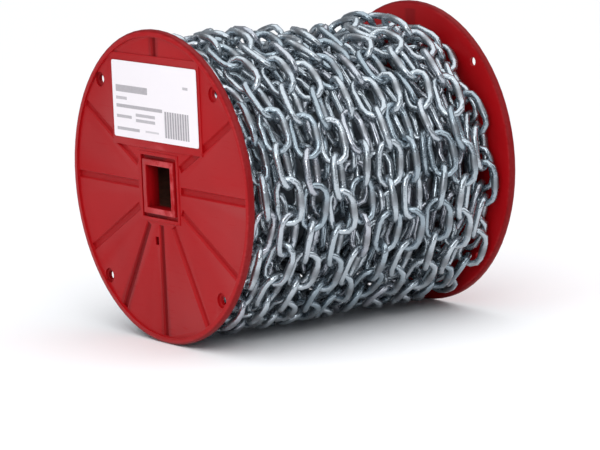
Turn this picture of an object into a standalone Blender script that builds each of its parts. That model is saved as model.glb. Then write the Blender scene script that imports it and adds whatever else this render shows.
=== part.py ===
"""A reel of welded steel chain, standing on the rims of its two moulded flanges.

The axle lies along X and the floor is z = 0, with the origin under the middle of the reel. The near flange
is at -X. Each flange is modelled on its own axle, with its outer face up, and is then turned to face out.
Lengths are in metres.
"""
import math

import bmesh
import bpy

# Flange: disc, rim and edge
FLANGE_DIAMETER = 0.212
OVERALL_WIDTH = 0.222
FLANGE_THICKNESS = 0.005
RIM_WIDTH = 0.0045
RIM_RISE = 0.0012
RIM_ROUNDING = 0.0018

# Flange: radial channels in its outer face
CHANNEL_COUNT = 12
CHANNEL_WIDTH = 0.0056
CHANNEL_FLOOR_WIDTH = 0.0036
CHANNEL_DEPTH = 0.0015
CHANNEL_HUB_GAP = 0.0022
CHANNEL_RIM_GAP = 0.0008

# Flange: square hub, from the arbor hole outwards
ARBOR_HOLE = 0.029
HUB_LIP = 0.0037
HUB_TRENCH = 0.0028
HUB_FRAME = 0.0023
HUB_FRAME_RISE = 0.0005
HUB_DEPTH = 0.010

# Flange: tie holes near the rim, and the small slot under the hub
TIE_HOLE_COUNT = 4
TIE_HOLE_DIAMETER = 0.00635
TIE_RECESS_DIAMETER = 0.0105
TIE_RECESS_DEPTH = 0.0012
TIE_RECESS_RIM_GAP = 0.0002
SLOT_SIZE = (0.004, 0.0056)
SLOT_BESIDE_AXLE = 0.006
SLOT_BELOW_FRAME = 0.0106
SLOT_DEPTH = 0.0024

# Label, and the pad under it
LABEL_WIDTH = 0.1015
LABEL_ABOVE_FRAME = 0.0077
LABEL_RIM_GAP = 0.0042
LABEL_THICKNESS = 0.0003
PAD_MARGIN = (0.00275, 0.0052)
PAD_RISE = 0.0006

# Barrel and the spigots that it sits on
BARREL_DIAMETER = 0.076
BARREL_WALL = 0.003
SPIGOT_WALL = 0.003
SPIGOT_REACH = 0.005

# Winding: strands side by side, in layers; slack chain hangs below the axle's centre
WINDING_FLOOR_GAP = 0.0023
SLACK_DROP = 0.0026
STRAND_COUNT = 10
STRAND_RELIEF = 0.014
END_STRAND_DROP = 0.0045
LAYER_COUNT = 4
LAYER_RELIEF = 0.0025
RING_FLAT_SHARE = 0.3

# Space between pieces that touch, and how far a cutter runs past a face
CLEARANCE = 0.0003
OVERRUN = 0.002
MERGE_DISTANCE = 0.00001

# Steps round each kind of circle
RIM_STEPS = 72
WINDING_STEPS = 40
BARREL_STEPS = 40
HOLE_STEPS = 12
ROUNDING_STEPS = 3

# Worked out from the sizes above
FLANGE_RADIUS = FLANGE_DIAMETER / 2
AXLE_HEIGHT = FLANGE_RADIUS * math.cos(math.pi / RIM_STEPS)
PLATE_FACE = -RIM_RISE
INNER_FACE = -FLANGE_THICKNESS
CHANNEL_FLOOR = PLATE_FACE - CHANNEL_DEPTH
INSIDE_PLATE = (CHANNEL_FLOOR + INNER_FACE) / 2
LIP_SIZE = ARBOR_HOLE + 2 * HUB_LIP
TRENCH_SIZE = LIP_SIZE + 2 * HUB_TRENCH
FRAME_SIZE = TRENCH_SIZE + 2 * HUB_FRAME
LABEL_LOW = FRAME_SIZE / 2 + LABEL_ABOVE_FRAME
LABEL_HIGH = math.sqrt((FLANGE_RADIUS - RIM_WIDTH - LABEL_RIM_GAP) ** 2 - (LABEL_WIDTH / 2) ** 2)
LABEL_SIZE = (LABEL_WIDTH, LABEL_HIGH - LABEL_LOW)
LABEL_CENTRE = (0, (LABEL_LOW + LABEL_HIGH) / 2)
SLOT_CENTRE = (-SLOT_BESIDE_AXLE, -FRAME_SIZE / 2 - SLOT_BELOW_FRAME - SLOT_SIZE[1] / 2)
TIE_HOLE_RADIUS = FLANGE_RADIUS - RIM_WIDTH - TIE_RECESS_RIM_GAP - TIE_RECESS_DIAMETER / 2
SPACE_BETWEEN_FLANGES = OVERALL_WIDTH - 2 * FLANGE_THICKNESS
BARREL_INNER_RADIUS = BARREL_DIAMETER / 2 - BARREL_WALL
WINDING_RADIUS = AXLE_HEIGHT - SLACK_DROP - WINDING_FLOOR_GAP


def srgb(red, green, blue):
    """Return a linear colour from screen values of 0 to 255."""
    def linear(value):
        share = value / 255
        return share / 12.92 if share <= 0.04045 else ((share + 0.055) / 1.055) ** 2.4
    return (linear(red), linear(green), linear(blue), 1.0)


def material(name, colour, roughness, metallic=0.0):
    """Return a Principled material."""
    made = bpy.data.materials.new(name)
    made.use_nodes = True
    shader = made.node_tree.nodes["Principled BSDF"]
    shader.inputs["Base Color"].default_value = colour
    shader.inputs["Roughness"].default_value = roughness
    shader.inputs["Metallic"].default_value = metallic
    return made


def add_object(name, bm):
    """Put a bmesh into the scene as an object, shaded smooth up to its sharp edges."""
    bmesh.ops.recalc_face_normals(bm, faces=bm.faces)
    mesh = bpy.data.meshes.new(name)
    bm.to_mesh(mesh)
    bm.free()
    mesh.shade_smooth()
    mesh.set_sharp_from_angle(angle=math.radians(30))
    made = bpy.data.objects.new(name, mesh)
    bpy.context.scene.collection.objects.link(made)
    return made


def add_prism(bm, low_outline, high_outline):
    """Add a closed prism between two outlines of as many points."""
    low = [bm.verts.new(point) for point in low_outline]
    high = [bm.verts.new(point) for point in high_outline]
    bm.faces.new(low[::-1])
    bm.faces.new(high)
    for index in range(len(low)):
        after = (index + 1) % len(low)
        bm.faces.new((low[index], low[after], high[after], high[index]))


def block(size, low, high, centre=(0.0, 0.0)):
    """Return a box on a rectangle of the XY plane, from one height to another."""
    left, right = centre[0] - size[0] / 2, centre[0] + size[0] / 2
    front, back = centre[1] - size[1] / 2, centre[1] + size[1] / 2
    corners = [(left, front), (right, front), (right, back), (left, back)]
    bm = bmesh.new()
    add_prism(bm, [(*corner, low) for corner in corners], [(*corner, high) for corner in corners])
    return bm


def add_turned(bm, profile, steps, centre=(0.0, 0.0)):
    """Add the solid that a profile of (radius, height) makes when it is turned about Z.

    The profile's ends are on the axis, or else the profile is a closed loop. A facet, and not a corner, faces
    down the Y axis.
    """
    others = set(bm.verts)
    half_step = math.pi / steps
    points = [bm.verts.new((radius * math.sin(half_step), -radius * math.cos(half_step), height))
              for radius, height in profile]
    meets_axis = profile[0][0] == 0
    pairs = list(zip(points, points[1:])) + ([] if meets_axis else [(points[-1], points[0])])
    edges = [bm.edges.new(pair) for pair in pairs]
    bmesh.ops.spin(bm, geom=points + edges, cent=(0, 0, 0), axis=(0, 0, 1), angle=2 * math.pi, steps=steps,
                   use_merge=True)
    turned = [vert for vert in bm.verts if vert not in others]
    bmesh.ops.translate(bm, verts=turned, vec=(*centre, 0))
    bmesh.ops.remove_doubles(bm, verts=turned, dist=MERGE_DISTANCE)


def combine(target, operation, name, bm):
    """Cut a shape from an object, or join it on, with a modifier whose helper is the object's child."""
    helper = add_object(name, bm)
    helper.parent = target
    helper.hide_render = True
    helper.display_type = "WIRE"
    step = target.modifiers.new(name, "BOOLEAN")
    step.operation = operation
    step.solver = "EXACT"
    step.object = helper


def arc(centre_radius, centre_height, start, end):
    """Return the points of a rim's rounding about a centre, between two angles in degrees."""
    step_angle = (end - start) / ROUNDING_STEPS
    angles = [math.radians(start + step_angle * step) for step in range(ROUNDING_STEPS + 1)]
    return [(centre_radius + RIM_ROUNDING * math.cos(angle), centre_height + RIM_ROUNDING * math.sin(angle))
            for angle in angles]


def flange_profile():
    """Return half the flange's section: plate, raised rim with its round edge, and barrel spigot."""
    rounding_radius = FLANGE_RADIUS - RIM_ROUNDING
    spigot_outer = BARREL_INNER_RADIUS - CLEARANCE
    spigot_inner = spigot_outer - SPIGOT_WALL
    spigot_end = INNER_FACE - SPIGOT_REACH
    return [
        (0, PLATE_FACE),
        (FLANGE_RADIUS - RIM_WIDTH, PLATE_FACE),
        (FLANGE_RADIUS - RIM_WIDTH, 0),
        *arc(rounding_radius, -RIM_ROUNDING, 90, 0),
        *arc(rounding_radius, INNER_FACE + RIM_ROUNDING, 0, -90),
        (spigot_outer, INNER_FACE),
        (spigot_outer, spigot_end),
        (spigot_inner, spigot_end),
        (spigot_inner, INNER_FACE),
        (0, INNER_FACE),
    ]


def channel_cutter():
    """Return the radial channels, which start outside the hub's frame and narrow towards their floors."""
    bm = bmesh.new()
    end = FLANGE_RADIUS - RIM_WIDTH - CHANNEL_RIM_GAP
    slope = (CHANNEL_WIDTH - CHANNEL_FLOOR_WIDTH) / 2 / CHANNEL_DEPTH
    top_half = CHANNEL_FLOOR_WIDTH / 2 + slope * (CHANNEL_DEPTH + OVERRUN)
    for index in range(CHANNEL_COUNT):
        turn = 2 * math.pi * index / CHANNEL_COUNT
        start = FRAME_SIZE / 2 / max(abs(math.sin(turn)), abs(math.cos(turn))) + CHANNEL_HUB_GAP

        def placed(along, across, height):
            return (along * math.sin(turn) + across * math.cos(turn),
                    along * math.cos(turn) - across * math.sin(turn), height)

        low, high = ([placed(start, -half, height), placed(end, -half, height),
                      placed(end, half, height), placed(start, half, height)]
                     for half, height in ((CHANNEL_FLOOR_WIDTH / 2, CHANNEL_FLOOR),
                                          (top_half, PLATE_FACE + OVERRUN)))
        add_prism(bm, low, high)
    return bm


def tie_hole_cutter():
    """Return the tie holes with the round recess about each of them, as stepped plugs."""
    bm = bmesh.new()
    recess_floor = PLATE_FACE - TIE_RECESS_DEPTH
    profile = [
        (0, INNER_FACE - OVERRUN),
        (TIE_HOLE_DIAMETER / 2, INNER_FACE - OVERRUN),
        (TIE_HOLE_DIAMETER / 2, recess_floor),
        (TIE_RECESS_DIAMETER / 2, recess_floor),
        (TIE_RECESS_DIAMETER / 2, PLATE_FACE + OVERRUN),
        (0, PLATE_FACE + OVERRUN),
    ]
    for index in range(TIE_HOLE_COUNT):
        turn = 2 * math.pi * (index + 0.5) / TIE_HOLE_COUNT
        centre = (TIE_HOLE_RADIUS * math.cos(turn), TIE_HOLE_RADIUS * math.sin(turn))
        add_turned(bm, profile, HOLE_STEPS, centre)
    return bm


def make_flange(name, facing, finish):
    """Make one flange and stand it at its end of the axle, the -X end where facing is -1."""
    bm = bmesh.new()
    add_turned(bm, flange_profile(), RIM_STEPS)
    flange = add_object(name, bm)
    flange.data.materials.append(finish)
    pad_size = (LABEL_SIZE[0] + 2 * PAD_MARGIN[0], LABEL_SIZE[1] + 2 * PAD_MARGIN[1])
    combine(flange, "DIFFERENCE", name + "_channels", channel_cutter())
    combine(flange, "UNION", name + "_pad",
            block(pad_size, INSIDE_PLATE, PLATE_FACE + PAD_RISE, LABEL_CENTRE))
    combine(flange, "UNION", name + "_frame",
            block((FRAME_SIZE, FRAME_SIZE), INSIDE_PLATE, PLATE_FACE + HUB_FRAME_RISE))
    combine(flange, "DIFFERENCE", name + "_trench",
            block((TRENCH_SIZE, TRENCH_SIZE), CHANNEL_FLOOR, PLATE_FACE + OVERRUN))
    combine(flange, "UNION", name + "_lip", block((LIP_SIZE, LIP_SIZE), -HUB_DEPTH, 0))
    combine(flange, "DIFFERENCE", name + "_arbor",
            block((ARBOR_HOLE, ARBOR_HOLE), -HUB_DEPTH - OVERRUN, OVERRUN))
    combine(flange, "DIFFERENCE", name + "_tie_holes", tie_hole_cutter())
    combine(flange, "DIFFERENCE", name + "_slot",
            block(SLOT_SIZE, PLATE_FACE - SLOT_DEPTH, PLATE_FACE + OVERRUN, SLOT_CENTRE))
    stand_on_axle(flange, facing, facing * OVERALL_WIDTH / 2)


def stand_on_axle(made, facing, x):
    """Turn an object modelled outer face up to face along the axle, with its Y axis up."""
    made.rotation_euler = (math.radians(90), 0, facing * math.radians(90))
    made.location = (x, 0, AXLE_HEIGHT)


def make_label(finish):
    """Make the paper label, lying on the near flange's pad."""
    low = PLATE_FACE + PAD_RISE + CLEARANCE
    label = add_object("label", block(LABEL_SIZE, low, low + LABEL_THICKNESS, LABEL_CENTRE))
    label.data.materials.append(finish)
    stand_on_axle(label, -1, -OVERALL_WIDTH / 2)


def make_barrel(finish):
    """Make the tube between the flanges, which sits on their spigots."""
    half = SPACE_BETWEEN_FLANGES / 2 - CLEARANCE
    outer = BARREL_DIAMETER / 2
    bm = bmesh.new()
    add_turned(bm, [(BARREL_INNER_RADIUS, -half), (outer, -half), (outer, half), (BARREL_INNER_RADIUS, half)],
               BARREL_STEPS)
    barrel = add_object("barrel", bm)
    barrel.data.materials.append(finish)
    stand_on_axle(barrel, 1, 0)


def winding_profile():
    """Return the winding's section: rings of turns on each end, and a bulge for each strand between them."""
    half = SPACE_BETWEEN_FLANGES / 2 - CLEARANCE
    pitch = 2 * half / STRAND_COUNT
    crests = [WINDING_RADIUS] * STRAND_COUNT
    for end in (0, -1):
        crests[end] -= END_STRAND_DROP
    outside = []
    for index, crest in enumerate(crests):
        middle = -half + pitch * (index + 0.5)
        outside += [(crest - STRAND_RELIEF / 3, middle - pitch / 4), (crest, middle),
                    (crest - STRAND_RELIEF / 3, middle + pitch / 4)]
        if index + 1 < STRAND_COUNT:
            outside.append((min(crest, crests[index + 1]) - STRAND_RELIEF, middle + pitch / 2))
    ring_start = BARREL_DIAMETER / 2 + CLEARANCE + SLACK_DROP
    ring_end = crests[0] - STRAND_RELIEF
    ring = (ring_end - ring_start) / LAYER_COUNT
    face = []
    for layer in range(LAYER_COUNT):
        middle = ring_start + ring * (layer + 0.5)
        face += [(ring_start + ring * layer, LAYER_RELIEF), (middle - ring * RING_FLAT_SHARE / 2, 0),
                 (middle + ring * RING_FLAT_SHARE / 2, 0)]
    face.append((ring_end, LAYER_RELIEF))
    low_face = [(radius, -half + sunk) for radius, sunk in face]
    high_face = [(radius, half - sunk) for radius, sunk in reversed(face)]
    return [(0, -half + LAYER_RELIEF), *low_face, *outside, *high_face, (0, half - LAYER_RELIEF)]


def make_winding(finish):
    """Make the wound chain as one turned solid, hung low by its slack and bored to clear the barrel."""
    bm = bmesh.new()
    add_turned(bm, winding_profile(), WINDING_STEPS, (0, -SLACK_DROP))
    winding = add_object("chain_winding", bm)
    winding.data.materials.append(finish)
    half = SPACE_BETWEEN_FLANGES / 2 + OVERRUN
    bore_radius = BARREL_DIAMETER / 2 + CLEARANCE
    bore = bmesh.new()
    add_turned(bore, [(0, -half), (bore_radius, -half), (bore_radius, half), (0, half)], BARREL_STEPS)
    combine(winding, "DIFFERENCE", "winding_bore", bore)
    stand_on_axle(winding, 1, 0)


def main():
    """Clear the scene and build the reel."""
    for old in list(bpy.data.objects):
        bpy.data.objects.remove(old)
    red_plastic = material("red_plastic", srgb(157, 43, 48), 0.45)
    make_flange("near_flange", -1, red_plastic)
    make_flange("far_flange", 1, material("red_plastic_far", srgb(157, 43, 48), 0.45))
    make_label(material("label_paper", srgb(250, 247, 251), 0.7))
    make_barrel(material("barrel_board", srgb(150, 120, 90), 0.85))
    make_winding(material("zinc_plated_steel", srgb(150, 158, 165), 0.3, 1.0))


main()
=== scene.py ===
"""A reel of welded steel chain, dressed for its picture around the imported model.

Two moulded plastic flanges stand on their rims and carry a winding of separate, interlocked links. The
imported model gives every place: the axle lies along X, the near flange is at -X and the floor is z = 0.
Lengths are in metres.
"""
import logging
import math
from dataclasses import dataclass, field
from enum import Enum
from typing import Sequence, Union

import bmesh
import bpy
import numpy as np
from mathutils import Matrix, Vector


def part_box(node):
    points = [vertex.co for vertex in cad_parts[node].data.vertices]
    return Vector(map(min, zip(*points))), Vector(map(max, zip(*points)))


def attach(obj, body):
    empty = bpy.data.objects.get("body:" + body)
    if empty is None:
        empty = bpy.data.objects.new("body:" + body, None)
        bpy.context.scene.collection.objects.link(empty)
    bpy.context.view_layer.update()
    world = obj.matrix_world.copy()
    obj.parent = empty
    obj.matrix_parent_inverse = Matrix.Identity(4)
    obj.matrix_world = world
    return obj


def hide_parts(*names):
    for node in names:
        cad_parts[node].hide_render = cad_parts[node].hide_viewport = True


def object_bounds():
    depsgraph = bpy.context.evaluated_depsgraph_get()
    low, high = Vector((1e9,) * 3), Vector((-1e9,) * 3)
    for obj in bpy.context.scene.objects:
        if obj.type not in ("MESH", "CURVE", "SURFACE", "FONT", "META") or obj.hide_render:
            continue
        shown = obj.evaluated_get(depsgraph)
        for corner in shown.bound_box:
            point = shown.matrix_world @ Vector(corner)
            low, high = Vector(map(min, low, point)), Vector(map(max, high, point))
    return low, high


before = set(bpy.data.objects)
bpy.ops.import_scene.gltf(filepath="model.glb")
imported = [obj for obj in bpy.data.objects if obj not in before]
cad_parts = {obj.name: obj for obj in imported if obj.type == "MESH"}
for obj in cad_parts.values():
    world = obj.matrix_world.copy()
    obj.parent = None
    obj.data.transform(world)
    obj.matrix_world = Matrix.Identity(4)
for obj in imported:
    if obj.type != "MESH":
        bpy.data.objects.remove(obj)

log = logging.getLogger("reel")

Number = Union[float, "Signal"]
Colour = tuple[float, float, float, float]
Span = tuple[float, float]

# Pushes on links: which links, how far each is pushed, which way, and the push's arm about the link.
Pushes = tuple[np.ndarray, np.ndarray, np.ndarray, np.ndarray]

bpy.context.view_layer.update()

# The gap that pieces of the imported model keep, and how far a flange's rim stands proud of its plate.
CLEARANCE = 0.0003
RIM_RISE = 0.0012


def srgb(red: float, green: float, blue: float) -> Colour:
    """Return a linear colour from screen values: the darkest are scaled, the rest follow a power curve.

    Args:
        red: the red value, from 0 to 255 like the others.
        green: the green value.
        blue: the blue value.

    Returns:
        The linear colour, opaque.
    """
    screen = np.array([red, green, blue]) / 255
    linear = np.where(screen <= 0.04045, screen / 12.92, ((screen + 0.055) / 1.055) ** 2.4)
    return (float(linear[0]), float(linear[1]), float(linear[2]), 1.0)


class Signal:
    """A socket in a material's sums. Each operator on it adds one Math node."""

    def __init__(self, board: "Board", socket: bpy.types.NodeSocket) -> None:
        """Wrap a socket that belongs to a board."""
        self.board = board
        self.socket = socket

    def sum(self, operation: str, *terms: Number) -> "Signal":
        """Return a Math node's result, from its operation and its inputs in order."""
        return self.board.add("ShaderNodeMath", {"operation": operation}, dict(enumerate(terms)))

    def __add__(self, other: Number) -> "Signal":
        """Return the sum."""
        return self.sum("ADD", self, other)

    __radd__ = __add__

    def __sub__(self, other: Number) -> "Signal":
        """Return the difference."""
        return self.sum("SUBTRACT", self, other)

    def __rsub__(self, other: Number) -> "Signal":
        """Return the difference from a number."""
        return self.sum("SUBTRACT", other, self)

    def __mul__(self, other: Number) -> "Signal":
        """Return the product."""
        return self.sum("MULTIPLY", self, other)

    __rmul__ = __mul__

    def __truediv__(self, other: Number) -> "Signal":
        """Return the quotient."""
        return self.sum("DIVIDE", self, other)

    def __abs__(self) -> "Signal":
        """Return the size without its sign."""
        return self.sum("ABSOLUTE", self)

    def fract(self) -> "Signal":
        """Return what is left above the next lower whole number."""
        return self.sum("FRACT", self)

    def most(self, other: Number) -> "Signal":
        """Return the larger of the two."""
        return self.sum("MAXIMUM", self, other)

    def between(self, low: float, high: float) -> "Signal":
        """Return 1 inside a range and 0 outside it."""
        return self.sum("GREATER_THAN", self, low) * self.sum("LESS_THAN", self, high)

    def rise(self, low: float, high: float) -> "Signal":
        """Return a smooth step that goes from 0 at low to 1 at high."""
        settings = {"interpolation_type": "SMOOTHSTEP"}
        return self.board.add("ShaderNodeMapRange", settings,
                              {"Value": self, "From Min": low, "From Max": high})

    def span(self, low: float, high: float) -> "Signal":
        """Return a value of 0 to 1 stretched to run from low to high."""
        return self * (high - low) + low


class Board:
    """A material's node tree, with one method that adds any node."""

    def __init__(self, name: str) -> None:
        """Start a Principled material.

        Args:
            name: the material's name.
        """
        self.material = bpy.data.materials.new(name)
        self.material.use_nodes = True
        self.tree = self.material.node_tree
        self.shader = self.tree.nodes["Principled BSDF"]

    def feed(self, socket: bpy.types.NodeSocket, value: object) -> None:
        """Set a socket to a value or link a signal to it.

        Args:
            socket: the socket to feed.
            value: a number, a vector, a colour or a signal.
        """
        if isinstance(value, Signal):
            self.tree.links.new(value.socket, socket)
        else:
            socket.default_value = value

    def add(self, kind: str, settings: dict | None = None, sockets: dict | None = None,
            output: int | str = 0) -> Signal:
        """Add a node.

        Args:
            kind: the node's type.
            settings: its properties, by name, which are set first.
            sockets: values or signals for its inputs, by name or number.
            output: the output wanted.

        Returns:
            The output as a signal.
        """
        node = self.tree.nodes.new(kind)
        for key, value in (settings or {}).items():
            setattr(node, key, value)
        for key, value in (sockets or {}).items():
            self.feed(node.inputs[key], value)
        return Signal(self, node.outputs[output])

    def place(self) -> Signal:
        """Return the point on the piece, in metres."""
        return self.add("ShaderNodeTexCoord", output="Object")

    def axis(self, point: Signal, name: str) -> Signal:
        """Return one coordinate of a point."""
        return self.add("ShaderNodeSeparateXYZ", sockets={0: point}, output=name)

    def attribute(self, name: str) -> Signal:
        """Return a number that the mesh carries at each point."""
        return self.add("ShaderNodeAttribute", {"attribute_name": name}, output="Fac")

    def noise(self, point: Signal, size: float, detail: float,
              stretch: Sequence[float] = (1.0, 1.0, 1.0)) -> Signal:
        """Return cloudy noise of 0 to 1.

        Args:
            point: where it is read.
            size: the clouds' size in metres.
            detail: how many finer clouds lie on them.
            stretch: how much longer the clouds are along each axis.

        Returns:
            The noise as a signal.
        """
        scaled = self.add("ShaderNodeMapping", {"vector_type": "POINT"},
                          {"Vector": point, "Scale": [1 / (size * long) for long in stretch]})
        return self.add("ShaderNodeTexNoise", sockets={"Vector": scaled, "Scale": 1.0, "Detail": detail})

    def mix(self, share: Number, first: object, second: object) -> Signal:
        """Return two colours mixed, the second one by the share given."""
        return self.add("ShaderNodeMix", {"data_type": "RGBA"}, {0: share, 6: first, 7: second}, output=2)

    def bump(self, height: Signal, depth: float, strength: float) -> Signal:
        """Return a normal bent by a height of 0 to 1 that stands for a depth in metres."""
        return self.add("ShaderNodeBump", sockets={"Height": height, "Distance": depth, "Strength": strength})

    def finish(self, **sockets: object) -> bpy.types.Material:
        """Feed the Principled shader.

        Args:
            sockets: values or signals for its inputs, named in small letters with underscores.

        Returns:
            The material.
        """
        for name, value in sockets.items():
            words = " ".join(word.upper() if word == "ior" else word.capitalize() for word in name.split("_"))
            self.feed(self.shader.inputs[words], value)
        return self.material


@dataclass(frozen=True)
class RedPlastic:
    """Moulded plastic of the flanges: a satin skin scuffed on its rims, with painted shade in channels, bore
    and edge, and a painted highlight on the lip.

    A span says where a blend starts and where it is whole. A depth is counted inwards from the plate's face,
    a rise outwards from it, and a radius from the axle.
    """

    axle_height: float
    face: float
    name: str = "moulded_red_plastic"
    colour: Colour = srgb(170, 10, 18)
    # The deep colour gives a random darker tone, and it is also the colour of the painted shade.
    deep_tone_and_shade_colour: Colour = srgb(108, 2, 7)
    scuff_and_highlight_colour: Colour = srgb(208, 92, 96)
    channels: int = 12
    channel_depth: Span = (0.0002, 0.0014)
    plate_depth: Span = (0.0024, 0.0034)
    channel_radius: Span = (0.029, 0.1006)
    shade_degrees: Span = (2.4, 4.4)
    proud_rise: Span = (0.0004, 0.0009)
    lip_radius: Span = (0.0270, 0.0300)
    rim_radius: Span = (0.1022, 0.1054)
    edge_shade_radius: Span = (0.1036, 0.1054)
    bore_depth: Span = (0.0006, 0.009)
    bore_radius: Span = (0.0215, 0.0225)
    cloud_size: float = 0.045
    lip_highlight_size: float = 0.006
    lip_highlight_side: Span = (-0.002, 0.015)
    scratch_size: float = 0.0011
    scratch_stretch: tuple[float, float, float] = (1.0, 14.0, 1.5)
    grain_size: float = 0.0007
    grain_depth: float = 0.00003

    def make(self) -> bpy.types.Material:
        """Make the material from where a point lies on the moulding and from noise.

        Returns:
            The material.
        """
        board = Board(self.name)
        point = board.place()
        across = abs(board.axis(point, "X"))
        upward = board.axis(point, "Z") - self.axle_height
        sideways = board.axis(point, "Y")
        radius = upward.sum("SQRT", upward * upward + sideways * sideways)
        depth = self.face - across
        hollow = depth.rise(*self.channel_depth) * (1 - depth.rise(*self.plate_depth))
        proud = (across - self.face).rise(*self.proud_rise)
        clouds = board.noise(point, self.cloud_size, 3.0)
        scratches = board.noise(point, self.scratch_size, 3.0, stretch=self.scratch_stretch)

        # Painted shade lies in the channels and beside them, most on those that stand upright or lean towards
        # +Y.
        turns = upward.sum("ARCTAN2", sideways, upward) * (self.channels / (2 * math.pi))
        beside = abs((turns + 0.5).fract() - 0.5) * (360 / self.channels)
        shade_wedge = (1 - beside.rise(*self.shade_degrees)) * (1 - proud.rise(0.0, 0.2))
        shade_wedge = shade_wedge * radius.between(*self.channel_radius)
        steep = (abs(upward) / radius).rise(0.0, 1.0)
        upright = steep.rise(0.5, 0.95) * (sideways / radius).rise(-0.45, -0.1)
        painted_channel_shade = (hollow * upright.span(0.12, 0.85)).most(shade_wedge * upright * 0.45)
        # Painted shade darkens the bore deep inside the hub.
        bore = depth.rise(*self.bore_depth) * (1 - radius.rise(*self.bore_radius))

        # The rim is scuffed in streaks, and the hub's lip carries a painted pale highlight, most on the side
        # towards -Y.
        streaks = (clouds * 0.5 + scratches * 0.5).rise(0.42, 0.62)
        lip = proud * (1 - radius.rise(*self.lip_radius))
        lip_highlight = board.noise(point, self.lip_highlight_size, 3.0).rise(0.3, 0.6)
        lip_highlight = lip_highlight * (1 - sideways.rise(*self.lip_highlight_side) * 0.8)
        scuffs_and_lip_highlight = radius.rise(*self.rim_radius) * 0.5 * streaks + lip * lip_highlight

        toned = board.mix(clouds.span(0.0, 0.35), self.colour, self.deep_tone_and_shade_colour)
        base = board.mix(painted_channel_shade.most(bore), toned, self.deep_tone_and_shade_colour)
        base = board.mix(scuffs_and_lip_highlight * 0.6, base, self.scuff_and_highlight_colour)
        # A painted dark outline of shade lies on the rim's rounded outer edge.
        base = board.mix(radius.rise(*self.edge_shade_radius) * 0.8, base, self.deep_tone_and_shade_colour)
        rough = clouds.span(0.34, 0.46) + scratches.rise(0.58, 0.72) * 0.10 + hollow * 0.12
        relief = board.bump(board.noise(point, self.grain_size, 2.0), self.grain_depth, 0.5)
        return board.finish(base_color=base, roughness=rough, normal=relief, ior=1.5, specular_ior_level=0.14)


@dataclass(frozen=True)
class ZincPlate:
    """Bright zinc plating on steel wire, each link a little different, dull at its weld; the same dull colour
    is painted shade on the chain's hidden core.
    """

    name: str = "bright_zinc_plating"
    colour: Colour = srgb(178, 187, 194)
    cool_colour: Colour = srgb(145, 158, 167)
    warm_colour: Colour = srgb(164, 158, 170)
    weld_and_core_shade_colour: Colour = srgb(116, 118, 122)
    cloud_size: float = 0.006
    dent_size: float = 0.0024
    speck_size: float = 0.0012
    relief_depth: float = 0.0004

    def make(self) -> bpy.types.Material:
        """Make the material from noise and from the tint and the weld that each link's mesh carries.

        Returns:
            The material.
        """
        board = Board(self.name)
        point = board.place()
        tint = board.attribute("tint")
        weld = board.attribute("weld")
        clouds = board.noise(point, self.cloud_size, 3.0)
        dents = board.noise(point, self.dent_size, 3.0)
        specks = board.noise(point, self.speck_size, 2.0)
        base = board.mix(tint.rise(0.1, 0.6), self.cool_colour, self.colour)
        base = board.mix(tint.rise(0.75, 1.0) * 0.4, base, self.warm_colour)
        base = board.mix(clouds.rise(0.5, 0.75) * 0.35, base, self.cool_colour)
        # On the links the weld value dulls the weld bead; on the chain's core it stands for painted shade.
        base = board.mix(weld * 0.7, base, self.weld_and_core_shade_colour)
        rough = clouds.span(0.11, 0.28) + specks.rise(0.55, 0.75) * 0.12 + weld * 0.15
        relief = board.bump(dents * 0.7 + specks * 0.3, self.relief_depth, 0.8)
        return board.finish(base_color=base, roughness=rough, metallic=0.88, normal=relief)


@dataclass(frozen=True)
class LabelPaper:
    """Coated white paper with plain grey rules and a block of evenly spaced bars, and no wording.

    A box on the sheet is its left, right, low and high side, as shares of the label's size. A rule's fifth
    number is how dark it is.
    """

    name: str = "coated_label_paper"
    paper: Colour = srgb(242, 237, 241)
    ink: Colour = srgb(66, 62, 74)
    rules: tuple[tuple[float, ...], ...] = (
        (0.04, 0.42, 0.590, 0.680, 0.85),
        (0.04, 0.17, 0.490, 0.530, 0.7),
        (0.04, 0.59, 0.385, 0.430, 0.85),
        (0.04, 0.22, 0.250, 0.290, 0.8),
        (0.27, 0.50, 0.290, 0.330, 0.75),
        (0.27, 0.50, 0.220, 0.260, 0.75),
        (0.04, 0.31, 0.090, 0.130, 0.8),
        (0.38, 0.54, 0.100, 0.125, 0.5),
        (0.84, 0.90, 0.720, 0.755, 0.7),
    )
    rule_ink: float = 0.68
    bar_block: tuple[float, ...] = (0.61, 0.895, 0.07, 0.41)
    bars_across: int = 34
    bar_share: float = 0.55
    most_ink: float = 0.8
    fade_size: float = 0.0012
    fibre_size: float = 0.0004
    fibre_depth: float = 0.00001

    def make(self) -> bpy.types.Material:
        """Make the material on the label's own UV map, whose unit is the label's size.

        Returns:
            The material.
        """
        board = Board(self.name)
        sheet = board.add("ShaderNodeUVMap", {"uv_map": "UVMap"})
        across = board.axis(sheet, "X")
        up = board.axis(sheet, "Y")
        point = board.place()
        ruled: Number = 0.0
        for left, right, low, high, weight in self.rules:
            ruled = ruled + across.between(left, right) * up.between(low, high) * weight
        left, right, low, high = self.bar_block
        block = across.between(left, right) * up.between(low, high)
        bars = (across * self.bars_across).fract().between(0.0, self.bar_share)
        printed = ruled * self.rule_ink + block * bars.span(0.25, 0.7)
        inked = printed * board.noise(point, self.fade_size, 2.0).span(0.8, 1.1)
        base = board.mix(inked.sum("MINIMUM", inked, self.most_ink), self.paper, self.ink)
        relief = board.bump(board.noise(point, self.fibre_size, 2.0), self.fibre_depth, 0.4)
        return board.finish(base_color=base, roughness=0.42, normal=relief, ior=1.45)


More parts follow.
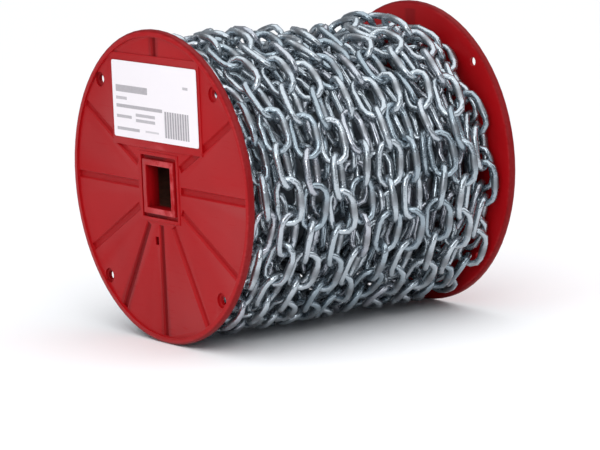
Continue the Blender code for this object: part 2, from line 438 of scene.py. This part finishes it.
@dataclass(frozen=True)
class WoundBoard:
    """Brown board of the barrel, wound in slanting strips."""

    axle_height: float
    name: str = "wound_brown_board"
    colour: Colour = srgb(118, 72, 56)
    seam_colour: Colour = srgb(74, 44, 34)
    strip_pitch: float = 0.06
    fibre_size: float = 0.002
    relief_depth: float = 0.0002

    def make(self) -> bpy.types.Material:
        """Make the material, whose seam climbs by one strip along X in a turn about the axle.

        Returns:
            The material.
        """
        board = Board(self.name)
        point = board.place()
        upward = board.axis(point, "Z") - self.axle_height
        turn = upward.sum("ARCTAN2", upward, board.axis(point, "Y")) / (2 * math.pi)
        strips = (board.axis(point, "X") / self.strip_pitch + turn).fract()
        seam = 1 - strips.rise(0.0, 0.03)
        fibre = board.noise(point, self.fibre_size, 4.0, stretch=(3.0, 1.0, 1.0))
        base = board.mix(fibre.rise(0.3, 0.7) * 0.5, self.colour, self.seam_colour)
        base = board.mix(seam, base, self.seam_colour)
        relief = board.bump(fibre - seam * 0.8, self.relief_depth, 0.6)
        return board.finish(base_color=base, roughness=0.88, normal=relief)


@dataclass(frozen=True)
class PaleFloor:
    """Plain pale studio floor."""

    name: str = "pale_floor"
    colour: Colour = srgb(246, 246, 247)
    roughness: float = 0.75

    def make(self) -> bpy.types.Material:
        """Return the material."""
        return Board(self.name).finish(base_color=self.colour, roughness=self.roughness)


def put_mesh(name: str, points: np.ndarray, faces: np.ndarray, finish: bpy.types.Material,
             attributes: dict[str, np.ndarray] | None = None) -> bpy.types.Object:
    """Make an object of four-cornered faces.

    Args:
        name: the piece's name.
        points: its vertices, one row each.
        faces: rows of four vertex numbers, going round so that the face points outwards.
        finish: its material.
        attributes: a number for each vertex, by name.

    Returns:
        The object, at the origin, shaded smooth.
    """
    mesh = bpy.data.meshes.new(name)
    mesh.vertices.add(len(points))
    mesh.vertices.foreach_set("co", points.astype(np.float32).ravel())
    mesh.loops.add(faces.size)
    mesh.loops.foreach_set("vertex_index", faces.astype(np.int32).ravel())
    mesh.polygons.add(len(faces))
    mesh.polygons.foreach_set("loop_start", np.arange(0, faces.size, faces.shape[1], dtype=np.int32))
    mesh.polygons.foreach_set("use_smooth", np.ones(len(faces), bool))
    mesh.update(calc_edges=True)
    for key, values in (attributes or {}).items():
        mesh.attributes.new(key, "FLOAT", "POINT").data.foreach_set("value", values.astype(np.float32))
    mesh.materials.append(finish)
    piece = bpy.data.objects.new(name, mesh)
    bpy.context.scene.collection.objects.link(piece)
    return piece


def ring_faces(rings: int, sides: int) -> np.ndarray:
    """Return the faces of a tube that closes on itself: ring after ring, each joined to the next.

    Args:
        rings: how many rings it has.
        sides: how many points a ring has.

    Returns:
        Rows of four vertex numbers.
    """
    ring, side = np.meshgrid(np.arange(rings), np.arange(sides), indexing="ij")
    next_ring, next_side = (ring + 1) % rings, (side + 1) % sides
    corners = [ring * sides + side, ring * sides + next_side,
               next_ring * sides + next_side, next_ring * sides + side]
    return np.stack(corners, -1).reshape(-1, 4)


def axis_turns(axis: np.ndarray, angle: np.ndarray) -> np.ndarray:
    """Return rotation matrices by the quaternion formula.

    Args:
        axis: a unit axis in each row.
        angle: the turn about each.

    Returns:
        A matrix for each.
    """
    w = np.cos(angle / 2)
    x, y, z = (axis * np.sin(angle / 2)[:, None]).T
    rows = [[1 - 2 * (y * y + z * z), 2 * (x * y - z * w), 2 * (x * z + y * w)],
            [2 * (x * y + z * w), 1 - 2 * (x * x + z * z), 2 * (y * z - x * w)],
            [2 * (x * z - y * w), 2 * (y * z + x * w), 1 - 2 * (x * x + y * y)]]
    return np.moveaxis(np.array(rows), -1, 0)


def ease(share: np.ndarray) -> np.ndarray:
    """Return shares of 0 to 1 slowed at both ends: three times the square less twice the cube."""
    return share * share * (3 - 2 * share)


@dataclass(frozen=True)
class ChainLink:
    """One welded link: two straights and two half rings of round wire, with a bead at the weld."""

    wire: float = 0.0047
    pitch: float = 0.0248
    inside_width: float = 0.0108
    bead_half_length: float = 0.0014
    bead_swell: float = 1.16
    arc_steps: int = 5

    @property
    def arc(self) -> float:
        """Return the radius of the half rings, at the wire's middle."""
        return (self.inside_width + self.wire) / 2

    @property
    def straight(self) -> float:
        """Return half the length of the straights."""
        return (self.pitch + self.wire) / 2 - self.arc

    def bones(self) -> np.ndarray:
        """Return the corners of the wire's middle line, a closed outline of straight lengths.

        The half rings' corners lie a little outside the true arc, so that the lengths between them lie as far
        inside it in their middles.

        Returns:
            A row for each corner, about the link's own middle.
        """
        turn = np.radians(np.linspace(-90, 90, self.arc_steps + 1))
        reach = self.arc * (1 + (1 - math.cos(math.pi / 2 / self.arc_steps)) / 2)
        right = np.stack([self.straight + reach * np.cos(turn), reach * np.sin(turn), 0 * turn], 1)
        return np.concatenate([right, right * [-1, -1, 1]])

    def surface(self, sides: int, arc_steps: int, bead: bool) -> tuple[np.ndarray, np.ndarray, np.ndarray]:
        """Return the link's skin about its own middle, long way along X and flat in XY.

        Each ring of the skin stands across the middle line: a circle of the wire's radius in the plane of the
        outward direction and Z. The bead swells two rings of one straight.

        Args:
            sides: how many points a ring has.
            arc_steps: how many lengths a half ring is made of.
            bead: whether the weld shows.

        Returns:
            Vertices, faces, and how much of a weld each vertex is.
        """
        turn = np.radians(np.linspace(-90, 90, arc_steps + 1))
        out = np.stack([np.cos(turn), np.sin(turn)], 1)
        right = out * self.arc + [self.straight, 0]
        ends = self.bead_half_length * np.array([1, -1] if bead else [])
        weld = np.stack([ends, np.full(len(ends), self.arc)], 1)
        weld_out = np.stack([0 * ends, np.ones(len(ends))], 1)
        centre = np.concatenate([right, weld, -right])
        outward = np.concatenate([out, weld_out, -out])
        swell = np.ones(len(centre))
        swell[len(right):len(right) + len(ends)] = self.bead_swell
        around = 2 * np.pi * (np.arange(sides) + 0.5) / sides
        radius = self.wire / 2 * swell
        flat = centre[:, None] + outward[:, None] * (radius[:, None] * np.cos(around))[:, :, None]
        height = radius[:, None] * np.sin(around)
        points = np.concatenate([flat, height[:, :, None]], 2).reshape(-1, 3)
        return points, ring_faces(len(centre), sides), np.repeat(swell > 1, sides).astype(float)


class Lay(Enum):
    """Which way a layer's strands follow each other along the axle."""

    OUTBOUND = 1
    RETURN = -1


@dataclass(frozen=True)
class ChainLayer:
    """One layer of the winding: its strands side by side, and how finely its links are made."""

    name: str
    radius: float
    strands: int
    lay: Lay
    sides: int
    arc_steps: int
    bead: bool


@dataclass
class Winding:
    """The chain on the reel: one run of links laid in strands and layers, then settled against each other."""

    axle_height: float
    face: float
    link: ChainLink = field(default_factory=ChainLink)
    layers: tuple[ChainLayer, ...] = (
        ChainLayer("inner_chain", 0.0725, 10, Lay.OUTBOUND, 5, 3, False),
        ChainLayer("middle_chain", 0.0840, 10, Lay.RETURN, 6, 4, False),
        ChainLayer("outer_chain", 0.0955, 10, Lay.OUTBOUND, 7, 5, True),
    )
    strands_across: int = 10
    slack_drop: float = 0.0058
    slack: float = 0.025
    crossover_start: float = 0.75
    crossover_place: float = math.radians(215)
    free_end: float = 0.14
    end_strand_drops: tuple[float, float] = (0.004, 0.0065)
    top_lifts: tuple[float, ...] = (
        0.004, 0.0108, 0.0065, 0.0071, 0.0023, 0.001, 0.0015, 0.002, 0.007, 0.0055)
    line_points: int = 40000

    # How far links wander from the line, over how many links, and how far each is turned by itself.
    side_wander: float = 0.0035
    side_links: int = 5
    height_wander: float = 0.0014
    height_links: int = 4
    roll_wander: float = math.radians(60)
    roll_links: int = 7
    roll_scatter: float = math.radians(20)
    tilt_scatter: float = math.radians(10)
    leaning_rolls: tuple[float, float] = (math.radians(48), math.radians(-42))
    seed: int = 3

    # Where the links are held, and how they settle: in how many rounds, and how far they are drawn in each
    # of the first. Every few rounds it looks again for links whose middles are within a pitch and some wires
    # of each other, and for lengths of theirs within a margin. A larger spin radius turns a link less.
    outer_limit: float = 0.1052
    core_radius: float = 0.0615
    settle_steps: int = 400
    drawn_steps: int = 180
    pull: float = 0.00001
    weight: float = 0.00001
    pair_steps: int = 8
    near_margin: float = 0.002
    reach_wires: float = 2.8
    spin_radius: float = 0.008
    sharing: float = -0.75
    longest_move: float = 0.001
    widest_turn: float = 0.12

    def wander(self, dice: np.random.Generator, count: int, spacing: int) -> np.ndarray:
        """Return a smooth random curve through values drawn every few links.

        Args:
            dice: what the values are drawn from.
            count: how many links there are.
            spacing: how many links there are from one value to the next.

        Returns:
            A number of -1 to 1 for each link.
        """
        knots = dice.uniform(-1, 1, count // spacing + 3)
        place = np.arange(count) / spacing
        low = place.astype(int)
        share = ease(place - low)
        return knots[low] * (1 - share) + knots[low + 1] * share

    def run(self) -> tuple[np.ndarray, ...]:
        """Return the line that the chain is laid on, at one point for each link.

        The angle grows evenly; each strand keeps its place along the axle for most of a turn and steps over
        to the next in the rest, and a layer's last step also climbs to the next layer. Links stand a little
        less than one pitch apart along the line. The chain's free end hangs at the bottom.

        Returns:
            Place along the axle, radius, angle from the top, layer number, and strand number in the run.
        """
        pitch = 2 * self.face / self.strands_across
        places, radii, numbers = [], [], []
        for number, layer in enumerate(self.layers):
            first = -(layer.strands - 1) / 2
            places.append((first + np.arange(layer.strands)) * pitch * layer.lay.value)
            radii.append(np.full(layer.strands, layer.radius))
            numbers.append(np.full(layer.strands, number))
        places, radii, numbers = (np.concatenate(part) for part in (places, radii, numbers))
        last = self.layers[-1].strands
        radii[[-last, -1]] -= self.end_strand_drops
        turn = np.linspace(0, len(places) - self.free_end, self.line_points)
        strand = turn.astype(int)
        share = ease(np.clip((turn - strand - self.crossover_start) / (1 - self.crossover_start), 0, 1))
        after = np.minimum(strand + 1, len(places) - 1)
        along = places[strand] * (1 - share) + places[after] * share
        radius = radii[strand] * (1 - share) + radii[after] * share
        angle = 2 * np.pi * turn + self.crossover_place
        lifts = np.zeros(len(places))
        lifts[-len(self.top_lifts):] = self.top_lifts
        lift = lifts[strand] * (1 - share) + lifts[after] * share
        radius = radius + lift * (1 + np.cos(angle)) / 2
        length = np.concatenate([[0], np.cumsum(radius[1:] * np.diff(angle))])
        stops = np.arange(0, length[-1], self.link.pitch * (1 - self.slack))
        line = (along, radius, angle, turn)
        along, radius, angle, turn = (np.interp(stops, length, values) for values in line)
        strand = turn.astype(int)
        return along, radius, angle, numbers[strand], strand

    def lay(self) -> tuple[np.ndarray, np.ndarray, np.ndarray]:
        """Lay the links, before they settle.

        Links follow the line, each turned a quarter about it from the last, with a slow wander and a scatter.
        The last strand's links lean on the far flange instead, by turns wide open and nearly on edge.

        Returns:
            Each link's middle, its axes as a matrix's columns, and its layer.
        """
        along, radius, angle, layer, strand = self.run()
        dice = np.random.default_rng(self.seed)
        count = len(along)
        along = along + self.side_wander * self.wander(dice, count, self.side_links)
        looseness = 1 - np.cos(angle) / 2
        radius = radius + self.height_wander * looseness * self.wander(dice, count, self.height_links)
        drop = self.slack_drop * layer / (len(self.layers) - 1)
        outward = np.stack([0 * angle, -np.sin(angle), np.cos(angle)], 1)
        centre = outward * radius[:, None] + np.stack([along, 0 * along, self.axle_height - drop], 1)
        tangent = np.gradient(centre, axis=0)
        tangent /= np.linalg.norm(tangent, axis=1, keepdims=True)
        outward -= (outward * tangent).sum(1, keepdims=True) * tangent
        outward /= np.linalg.norm(outward, axis=1, keepdims=True)
        side = np.cross(outward, tangent)
        odd = np.arange(count) % 2
        scatter = dice.uniform(-1, 1, (3, count))
        roll = np.pi / 2 * odd + self.roll_wander * self.wander(dice, count, self.roll_links)
        leaning = np.where(odd == 1, *self.leaning_rolls)
        roll = np.where(strand == strand[-1], leaning, roll) + self.roll_scatter * scatter[0]
        across = side * np.cos(roll)[:, None] + outward * np.sin(roll)[:, None]
        axes = np.stack([tangent, across, np.cross(tangent, across)], 2)
        for axis, amount in ((side, scatter[1]), (outward, scatter[2])):
            axes = axis_turns(axis, self.tilt_scatter * amount) @ axes
        return centre, axes, layer

    @staticmethod
    def nearest(first: np.ndarray, along_first: np.ndarray, second: np.ndarray,
                along_second: np.ndarray) -> tuple[np.ndarray, np.ndarray]:
        """Return the nearest points of pairs of straight lengths.

        Args:
            first: where the first lengths start.
            along_first: how they run, from end to end.
            second: where the second lengths start.
            along_second: how they run.

        Returns:
            A point on each first length and one on each second length.
        """
        apart = first - second
        a, e = (along_first ** 2).sum(1), (along_second ** 2).sum(1)
        b = (along_first * along_second).sum(1)
        c, f = (along_first * apart).sum(1), (along_second * apart).sum(1)
        s = np.clip((b * f - c * e) / np.maximum(a * e - b * b, 1e-16), 0, 1)
        t = np.clip((b * s + f) / e, 0, 1)
        s = np.clip((b * t - c) / a, 0, 1)
        return first + along_first * s[:, None], second + along_second * t[:, None]

    def neighbours(self, points: np.ndarray, ahead: np.ndarray, centre: np.ndarray) -> tuple[np.ndarray, ...]:
        """Find the pairs of wire lengths, of different links, that are near enough to touch soon.

        Args:
            points: each link's corners.
            ahead: the corner after each.
            centre: each link's middle.

        Returns:
            First links, second links, and the numbers of their lengths.
        """
        link_reach = self.link.pitch + self.reach_wires * self.link.wire
        gap = np.linalg.norm(centre[:, None] - centre[None], axis=2)
        i, j = np.nonzero(np.triu(gap < link_reach, 1))
        middle = (points + ahead) / 2
        half = np.linalg.norm(ahead - points, axis=2)[0] / 2
        far = np.linalg.norm(middle[i][:, :, None] - middle[j][:, None], axis=3)
        near = half[None, :, None] + half[None, None, :] + self.link.wire + self.near_margin
        k, u, v = np.nonzero(far < near)
        return i[k], j[k], u, v

    def contact_pushes(self, points: np.ndarray, ahead: np.ndarray, centre: np.ndarray,
                       pairs: tuple[np.ndarray, ...]) -> tuple[list[Pushes], np.ndarray]:
        """Push wire lengths apart that are nearer than the wire's thickness, each link by its share.

        Args:
            points: each link's corners.
            ahead: the corner after each.
            centre: each link's middle.
            pairs: the pairs of lengths to look at.

        Returns:
            The pushes on the first and on the second links, and by how much each pair overlaps.
        """
        i, j, u, v = pairs
        along_i, along_j = ahead[i, u] - points[i, u], ahead[j, v] - points[j, v]
        a, b = self.nearest(points[i, u], along_i, points[j, v], along_j)
        distance = np.linalg.norm(a - b, axis=1)
        hit = distance < self.link.wire
        i, j, a, b, distance = i[hit], j[hit], a[hit], b[hit], distance[hit]
        way = (a - b) / np.maximum(distance, 1e-9)[:, None]
        arm_i, arm_j = np.cross(a - centre[i], way), np.cross(b - centre[j], way)
        overlap = self.link.wire - distance
        push = overlap / (2 + ((arm_i ** 2).sum(1) + (arm_j ** 2).sum(1)) / self.spin_radius ** 2)
        return [(i, push, way, arm_i), (j, push, -way, -arm_j)], overlap

    def wall_pushes(self, points: np.ndarray, centre: np.ndarray) -> list[Pushes]:
        """Push back corners that are past a flange, in the core or past the outer limit.

        Args:
            points: each link's corners.
            centre: each link's middle.

        Returns:
            The pushes of the flanges, of the core and of the outer limit.
        """
        wire_radius = self.link.wire / 2
        wall = self.face - wire_radius - CLEARANCE
        axle = np.array([0, 0, self.axle_height])
        owners = np.repeat(np.arange(len(centre)), points.shape[1])
        level = points.reshape(-1, 3) - axle
        radius = np.hypot(level[:, 1], level[:, 2])
        outward = level * [0, 1, 1] / radius[:, None]
        inside = np.sign(level[:, :1]) * [-1, 0, 0]
        pushes = []
        for past, way in ((np.abs(level[:, 0]) - wall, inside),
                          (self.core_radius + wire_radius - radius, outward),
                          (radius + wire_radius - self.outer_limit, -outward)):
            over = past > 0
            arm = np.cross(level[over] + axle - centre[owners[over]], way[over])
            push = past[over] / (1 + (arm ** 2).sum(1) / self.spin_radius ** 2)
            pushes.append((owners[over], push, way[over], arm))
        return pushes

    def settle(self, centre: np.ndarray, axes: np.ndarray) -> tuple[np.ndarray, np.ndarray]:
        """Settle rigid links against each other and the reel.

        Every round, each link is moved and turned by the sum of the pushes on it, which count for less the
        more there are. In the first rounds every link is also drawn a little towards the axle and downwards,
        so that the chain lies close on top and hangs at the bottom.

        Args:
            centre: each link's middle.
            axes: each link's axes.

        Returns:
            Both again, settled.
        """
        bones = self.link.bones()
        count = len(centre)
        axle = np.array([0, 0, self.axle_height])
        pairs: tuple[np.ndarray, ...] = ()
        for step in range(self.settle_steps):
            points = centre[:, None] + np.einsum("nij,kj->nki", axes, bones)
            ahead = np.roll(points, -1, axis=1)
            if step % self.pair_steps == 0:
                pairs = self.neighbours(points, ahead, centre)
            touching, overlap = self.contact_pushes(points, ahead, centre, pairs)
            pushes = touching + self.wall_pushes(points, centre)
            owner, push, way, arm = (np.concatenate(part) for part in zip(*pushes))
            push = push[:, None]
            move, spin = push * way, push * arm / self.spin_radius ** 2
            share = np.maximum(np.bincount(owner, minlength=count), 1)[:, None] ** self.sharing
            move = np.stack([np.bincount(owner, part, count) for part in move.T], 1) * share
            spin = np.stack([np.bincount(owner, part, count) for part in spin.T], 1) * share
            inward = (centre - axle) * [0, -1, -1]
            inward /= np.linalg.norm(inward, axis=1, keepdims=True)
            drawn = self.pull * inward + self.weight * np.array([0, 0, -1])
            drawn = drawn if step < self.drawn_steps else 0.0
            centre = centre + np.clip(move, -self.longest_move, self.longest_move) + drawn
            angle = np.maximum(np.linalg.norm(spin, axis=1), 1e-12)
            axes = axis_turns(spin / angle[:, None], np.minimum(angle, self.widest_turn)) @ axes
        log.info("settled %d links: %d touch, the deepest by %.2f mm", count, len(overlap),
                 1000 * overlap.max())
        return centre, axes

    def build(self, finish: bpy.types.Material) -> list[bpy.types.Object]:
        """Lay and settle the links, and make their skins.

        Args:
            finish: the links' material.

        Returns:
            One piece for each layer.
        """
        centre, axes, layer = self.lay()
        centre, axes = self.settle(centre, axes)
        dice = np.random.default_rng(self.seed + 1)
        pieces = []
        for number, kind in enumerate(self.layers):
            skin, faces, weld = self.link.surface(kind.sides, kind.arc_steps, kind.bead)
            mine = layer == number
            count = int(mine.sum())
            points = centre[mine][:, None] + np.einsum("nij,kj->nki", axes[mine], skin)
            shifted = faces[None] + len(skin) * np.arange(count)[:, None, None]
            tint = np.repeat(dice.uniform(0, 1, count), len(skin))
            pieces.append(put_mesh(kind.name, points.reshape(-1, 3), shifted.reshape(-1, 4), finish,
                                   {"tint": tint, "weld": np.tile(weld, count)}))
        return pieces


@dataclass
class WindingCore:
    """The hidden turns of chain under the layers that are modelled, as one ridged ring round the barrel,
    darkened as painted shade.
    """

    axle_height: float
    half_length: float
    inner_radius: float
    outer_radius: float = 0.061
    ridges: int = 20
    ridge_height: float = 0.003
    ripple_share: float = 0.25
    beats: int = 12
    beat_share: float = 0.5
    steps: int = 72
    rows: int = 121
    # The core takes the cool tint and the weld's dull colour in full, as painted shade for the deep turns.
    tint: float = 0.1
    weld: float = 1.0

    def build(self, finish: bpy.types.Material) -> bpy.types.Object:
        """Make the ring: an outer skin whose radius ripples along the axle and round it, and a bore.

        The ripple along the axle is a cosine, and a smaller cosine round it makes its ridges swell and fade.

        Args:
            finish: the chain's material.

        Returns:
            The piece.
        """
        along = np.linspace(-self.half_length, self.half_length, self.rows)
        turn = 2 * np.pi * np.arange(self.steps) / self.steps
        ripple = np.cos(np.pi * self.ridges * along / self.half_length / 2)[:, None]
        beat = np.cos(self.beats * turn)[None] * self.beat_share
        sunk = (1 - self.ripple_share) + self.ripple_share * ripple * beat + self.ripple_share * ripple
        outer = self.outer_radius - self.ridge_height * sunk
        inner = np.full((2, self.steps), self.inner_radius)
        radius = np.concatenate([outer, inner])
        x = np.concatenate([along, [self.half_length, -self.half_length]])[:, None]
        height = self.axle_height + radius * np.cos(turn)
        points = np.stack([x + 0 * radius, -radius * np.sin(turn), height], -1).reshape(-1, 3)
        marks = {"tint": np.full(len(points), self.tint), "weld": np.full(len(points), self.weld)}
        return put_mesh("chain_core", points, ring_faces(len(radius), self.steps), finish, marks)


@dataclass
class Flange:
    """A moulded flange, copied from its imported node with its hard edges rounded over."""

    node: str
    name: str
    axle_height: float
    face: float
    edge_radius: float = 0.00035
    edge_segments: int = 2
    sharp_angle: float = math.radians(35)
    flat_angle: float = math.radians(0.5)
    merge_distance: float = 0.00001

    # Where the corners of channels are that run on below the label's pad.
    corner_rise: Span = (0.0236, 0.0260)
    corner_half_width: float = 0.0185
    corner_depth: float = 0.0023

    def level(self, points: np.ndarray) -> np.ndarray:
        """Raise the channel corners below the label's pad to the plate's face.

        Args:
            points: the flange's vertices.

        Returns:
            The vertices with those raised.
        """
        rise = points[:, 2] - self.axle_height
        outward = np.abs(points[:, 0])
        corners = (rise > self.corner_rise[0]) & (rise < self.corner_rise[1])
        corners &= np.abs(points[:, 1]) < self.corner_half_width
        corners &= (outward > self.face - self.corner_depth) & (outward < self.face)
        raised = points.copy()
        raised[corners, 0] = np.copysign(self.face, points[corners, 0])
        return raised

    def build(self, finish: bpy.types.Material) -> bpy.types.Object:
        """Make the flange: doubles merged, flat facets rejoined, then bevelled.

        Args:
            finish: its material.

        Returns:
            The piece.
        """
        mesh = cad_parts[self.node].data.copy()
        mesh.name = self.name
        points = np.empty(len(mesh.vertices) * 3, np.float32)
        mesh.vertices.foreach_get("co", points)
        mesh.vertices.foreach_set("co", self.level(points.reshape(-1, 3)).ravel())
        shape = bmesh.new()
        shape.from_mesh(mesh)
        bmesh.ops.remove_doubles(shape, verts=shape.verts, dist=self.merge_distance)
        bmesh.ops.dissolve_degenerate(shape, dist=self.merge_distance, edges=shape.edges)
        bmesh.ops.dissolve_limit(shape, angle_limit=self.flat_angle, verts=shape.verts, edges=shape.edges)
        shape.to_mesh(mesh)
        shape.free()
        mesh.materials.clear()
        mesh.materials.append(finish)
        mesh.polygons.foreach_set("material_index", np.zeros(len(mesh.polygons), np.int32))
        mesh.shade_smooth()
        mesh.set_sharp_from_angle(angle=self.sharp_angle)
        piece = bpy.data.objects.new(self.name, mesh)
        bpy.context.scene.collection.objects.link(piece)
        rounding = piece.modifiers.new("rounded_edges", "BEVEL")
        rounding.width = self.edge_radius
        rounding.segments = self.edge_segments
        rounding.limit_method = "ANGLE"
        rounding.angle_limit = self.sharp_angle
        rounding.harden_normals = True
        return piece


@dataclass
class Label:
    """The paper label: a thin sheet with rounded corners, lying on the flange's pad."""

    corner: float = 0.0016
    columns: int = 48
    rows: int = 26
    sharp_angle: float = math.radians(40)

    def build(self, finish: bpy.types.Material) -> bpy.types.Object:
        """Make the sheet as a front and a back grid joined along their borders.

        Grid lines bunch towards the borders, and the corner points are drawn in onto the corner's arc.

        Args:
            finish: the paper's material.

        Returns:
            The piece, with its own UV map.
        """
        low, high = (np.array(corner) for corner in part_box("label"))
        half = (high - low)[1:] / 2
        u = -np.cos(np.pi * np.arange(self.columns + 1) / self.columns)
        v = -np.cos(np.pi * np.arange(self.rows + 1) / self.rows)
        across, up = np.meshgrid(u * half[0], v * half[1], indexing="ij")
        inner = half - self.corner
        over = np.stack([np.abs(across) - inner[0], np.abs(up) - inner[1]], -1)
        both = (over > 0).all(-1)
        reach = np.max(np.abs(over), axis=-1) / np.maximum(np.linalg.norm(over, axis=-1), 1e-9)
        drawn = over * reach[..., None]
        across = np.where(both, np.sign(across) * (inner[0] + drawn[..., 0]), across)
        up = np.where(both, np.sign(up) * (inner[1] + drawn[..., 1]), up)
        middle = (low + high) / 2
        sheets = [np.stack([np.full_like(across, x), middle[1] + across, middle[2] + up], -1)
                  for x in (low[0], high[0])]
        columns, rows = across.shape
        points = np.concatenate([sheet.reshape(-1, 3) for sheet in sheets])
        c, r = np.meshgrid(np.arange(columns - 1), np.arange(rows - 1), indexing="ij")
        first = (c * rows + r).ravel()
        front = np.stack([first, first + 1, first + rows + 1, first + rows], 1)
        back = front[:, ::-1] + columns * rows
        edge = np.concatenate([np.arange(columns) * rows, (columns - 1) * rows + np.arange(1, rows),
                               np.arange(columns - 2, -1, -1) * rows + rows - 1, np.arange(rows - 2, 0, -1)])
        after = np.roll(edge, -1)
        border = np.stack([edge, after, after + columns * rows, edge + columns * rows], 1)
        faces = np.concatenate([front, back, border])
        piece = put_mesh("paper_label", points, faces, finish)
        mesh = piece.data
        mesh.set_sharp_from_angle(angle=self.sharp_angle)
        corners = points[faces.ravel()]
        share = np.stack([(high[1] - corners[:, 1]) / (2 * half[0]),
                          (corners[:, 2] - low[2]) / (2 * half[1])], 1)
        mesh.uv_layers.new(name="UVMap").data.foreach_set("uv", share.astype(np.float32).ravel())
        return piece


@dataclass
class Studio:
    """Pale floor, soft lights and the camera at the photograph's view."""

    target_height: float
    flange_diameter: float = 0.212
    azimuth: float = math.radians(-35.531)
    elevation: float = math.radians(9.4915)
    roll: float = math.radians(-2.3071)
    distance: float = 10.526
    shift: tuple[float, float] = (-0.0224, 0.1838)
    lens: float = 195.0
    sensor_width: float = 36.0
    view_end: float = 50.0
    floor_size: float = 14.0
    sky_colour: Colour = srgb(236, 240, 246)

    def aim(self, thing: bpy.types.ID, azimuth: float, elevation: float, roll: float,
            offset: Sequence[float]) -> bpy.types.Object:
        """Put a camera or a light into the scene, turned towards the reel.

        Its back points away from the reel, its right is level before the roll, and the offset from the
        middle of the axle is measured along its own right, up and back.

        Args:
            thing: the camera's or light's data.
            azimuth: its direction, which is 0 where it looks along +Y.
            elevation: its height above level.
            roll: how far it is turned about its own view.
            offset: how far it stands from the middle of the axle.

        Returns:
            The object.
        """
        back = np.array([math.sin(azimuth) * math.cos(elevation), -math.cos(azimuth) * math.cos(elevation),
                         math.sin(elevation)])
        level = np.array([math.cos(azimuth), math.sin(azimuth), 0.0])
        right = level * math.cos(roll) + np.cross(back, level) * math.sin(roll)
        axes = np.stack([right, np.cross(back, right), back], 1)
        turned = np.eye(4)
        turned[:3, :3] = axes
        turned[:3, 3] = axes @ np.array(offset) + [0, 0, self.target_height]
        made = bpy.data.objects.new(thing.name, thing)
        made.matrix_world = Matrix(turned.tolist())
        bpy.context.scene.collection.objects.link(made)
        return made

    def camera(self) -> None:
        """Place the camera that the photograph was fitted with, moved sideways rather than shifted."""
        data = bpy.data.cameras.new("camera")
        data.lens = self.lens
        data.sensor_width = self.sensor_width
        data.clip_end = self.view_end
        offset = np.array([-self.shift[0], -self.shift[1], self.distance]) * self.flange_diameter
        bpy.context.scene.camera = self.aim(data, self.azimuth, self.elevation, self.roll, offset)

    def floor(self, finish: bpy.types.Material) -> bpy.types.Object:
        """Return a level square that reaches past everything the camera sees.

        Args:
            finish: the floor's material.

        Returns:
            The floor.
        """
        half = self.floor_size / 2
        corners = np.array([[-half, -half, 0], [half, -half, 0], [half, half, 0], [-half, half, 0]])
        return put_mesh("floor", corners, np.array([[0, 1, 2, 3]]), finish)

    def lamp(self, name: str, kind: str, azimuth: float, elevation: float, distance: float, power: float,
             **breadth: float) -> None:
        """Hang a light turned towards the reel.

        Args:
            name: the light's name.
            kind: AREA for a square softbox, or SUN for a distant light that is even over the whole floor.
            azimuth: its direction in degrees, as the camera's is measured.
            elevation: its height in degrees.
            distance: how far it is from the middle of the axle.
            power: its power in watts, or a distant light's in watts a square metre.
            breadth: a softbox's size, or the angle that a distant light fills.
        """
        data = bpy.data.lights.new(name, kind)
        data.energy = power
        for key, value in breadth.items():
            setattr(data, key, value)
        self.aim(data, math.radians(azimuth), math.radians(elevation), 0.0, (0, 0, distance))

    def surroundings(self, strength: float) -> None:
        """Set an even pale light from all round.

        Args:
            strength: how bright it is.
        """
        world = bpy.data.worlds.new("studio")
        world.use_nodes = True
        sky = world.node_tree.nodes["Background"]
        sky.inputs["Color"].default_value = self.sky_colour
        sky.inputs["Strength"].default_value = strength
        bpy.context.scene.world = world

    def lights(self) -> None:
        """Hang a softbox on the camera's side, one to its left and one to its right, and a light on top."""
        self.lamp("key", "AREA", azimuth=-36, elevation=22, distance=0.8, power=1.3, size=0.32)
        self.lamp("left", "AREA", azimuth=-80, elevation=24, distance=0.9, power=0.6, size=0.4)
        self.lamp("right", "AREA", azimuth=42, elevation=30, distance=1.2, power=0.8, size=0.4)
        self.lamp("top", "SUN", azimuth=-20, elevation=82, distance=2.0, power=2.55, angle=math.radians(100))
        self.surroundings(strength=0.38)


def show(pieces: Sequence[bpy.types.Object], node: str) -> None:
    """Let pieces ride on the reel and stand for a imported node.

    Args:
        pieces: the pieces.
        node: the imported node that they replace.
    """
    for piece in pieces:
        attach(piece, "root")
        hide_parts(node)
        log.info("%s: %d faces", piece.name, len(piece.data.polygons))


def main() -> None:
    """Dress the reel, piece by piece, and set up the picture."""
    logging.basicConfig(level=logging.INFO, format="%(message)s")
    low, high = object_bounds()
    axle_height = (low[2] + high[2]) / 2
    plate_face = high[0] - RIM_RISE
    barrel_low, barrel_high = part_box("barrel")
    barrel_radius = (barrel_high[2] - barrel_low[2]) / 2
    winding_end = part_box("chain_winding")[1][0]

    red = RedPlastic(axle_height, plate_face).make()
    for node in ("near_flange", "far_flange"):
        show([Flange(node, f"{node}_moulding", axle_height, plate_face).build(red)], node)

    show([Label().build(LabelPaper().make())], "label")

    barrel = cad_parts["barrel"]
    barrel.data.materials.clear()
    barrel.data.materials.append(WoundBoard(axle_height).make())

    zinc = ZincPlate().make()
    winding = Winding(axle_height, winding_end + CLEARANCE)
    show(winding.build(zinc), "chain_winding")
    core = WindingCore(axle_height, winding_end, barrel_radius + CLEARANCE)
    show([core.build(zinc)], "chain_winding")

    studio = Studio(axle_height)
    studio.floor(PaleFloor().make())
    studio.lights()
    studio.camera()
    bpy.context.scene.view_settings.view_transform = "Standard"


if __name__ == "__main__":
    main()
